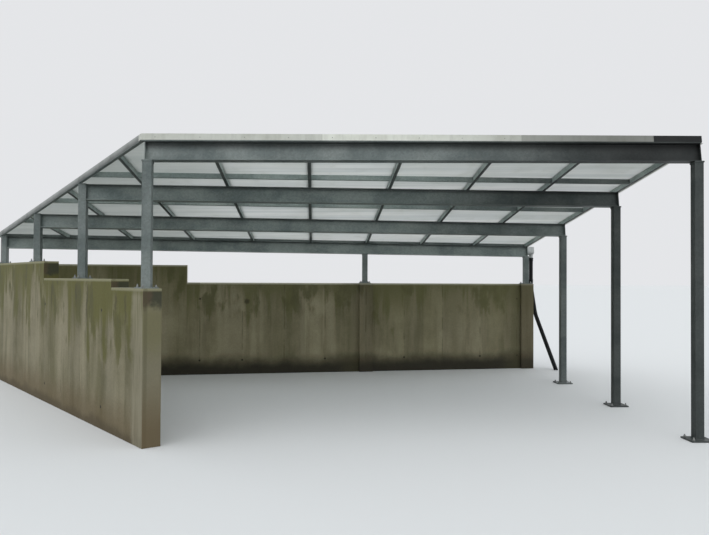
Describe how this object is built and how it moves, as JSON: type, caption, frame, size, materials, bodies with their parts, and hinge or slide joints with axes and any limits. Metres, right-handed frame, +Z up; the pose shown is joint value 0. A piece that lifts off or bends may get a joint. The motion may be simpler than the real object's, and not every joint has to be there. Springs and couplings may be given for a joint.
{
  "type": "carport",
  "caption": "Open steel carport with an irregular four-sided plan, a translucent roof falling to the back, and concrete walls under its left side and back.",
  "frame": {"origin": "centre of the base plate of the front right post, at ground level", "axes": "+X to the right along the front beam, +Y to the back along the right side, +Z up"},
  "size_m": [10.1523, 6.7022, 3.2992],
  "materials": {
    "galvanised_steel": "dull hot-dip galvanised",
    "concrete": "board-marked cast concrete",
    "roof_sheet": "translucent multiwall sheet",
    "strip_metal": "satin",
    "trim_metal": "satin paint",
    "gutter_metal": "satin",
    "pipe_plastic": "matte"
  },
  "bodies": {
    "root": {"back_wall_high": "concrete", "back_wall_low": "concrete", "battens": "galvanised_steel", "beam_1": "galvanised_steel", "beam_2": "galvanised_steel", "beam_3": "galvanised_steel", "beam_4": "galvanised_steel", "downpipe": "pipe_plastic", "edge_trim_right": "trim_metal", "fascia_end": "galvanised_steel", "fascia_front": "trim_metal", "fascia_left": "trim_metal", "front_rail": "galvanised_steel", "gutter": "gutter_metal", "gutter_brackets": "gutter_metal", "joint_strips": "strip_metal", "post_left_1": "galvanised_steel", "post_left_2": "galvanised_steel", "post_left_3": "galvanised_steel", "post_left_4": "galvanised_steel", "post_rear_middle": "galvanised_steel", "post_right_1": "galvanised_steel", "post_right_2": "galvanised_steel", "post_right_3": "galvanised_steel", "post_right_4": "galvanised_steel", "rafter_1": "galvanised_steel", "rafter_2": "galvanised_steel", "rafter_3": "galvanised_steel", "rafter_4": "galvanised_steel", "rafter_5": "galvanised_steel", "rafter_6": "galvanised_steel", "rafter_7": "galvanised_steel", "rafter_8": "galvanised_steel", "rafter_9": "galvanised_steel", "rafter_rake": "galvanised_steel", "rear_rail": "galvanised_steel", "roof_sheet_1": "roof_sheet", "roof_sheet_2": "roof_sheet", "roof_sheet_3": "roof_sheet", "roof_sheet_4": "roof_sheet", "roof_sheet_5": "roof_sheet", "roof_sheet_6": "roof_sheet", "roof_sheet_7": "roof_sheet", "roof_sheet_8": "roof_sheet", "roof_sheet_9": "roof_sheet", "side_wall": "concrete"}
  },
  "joints": []
}
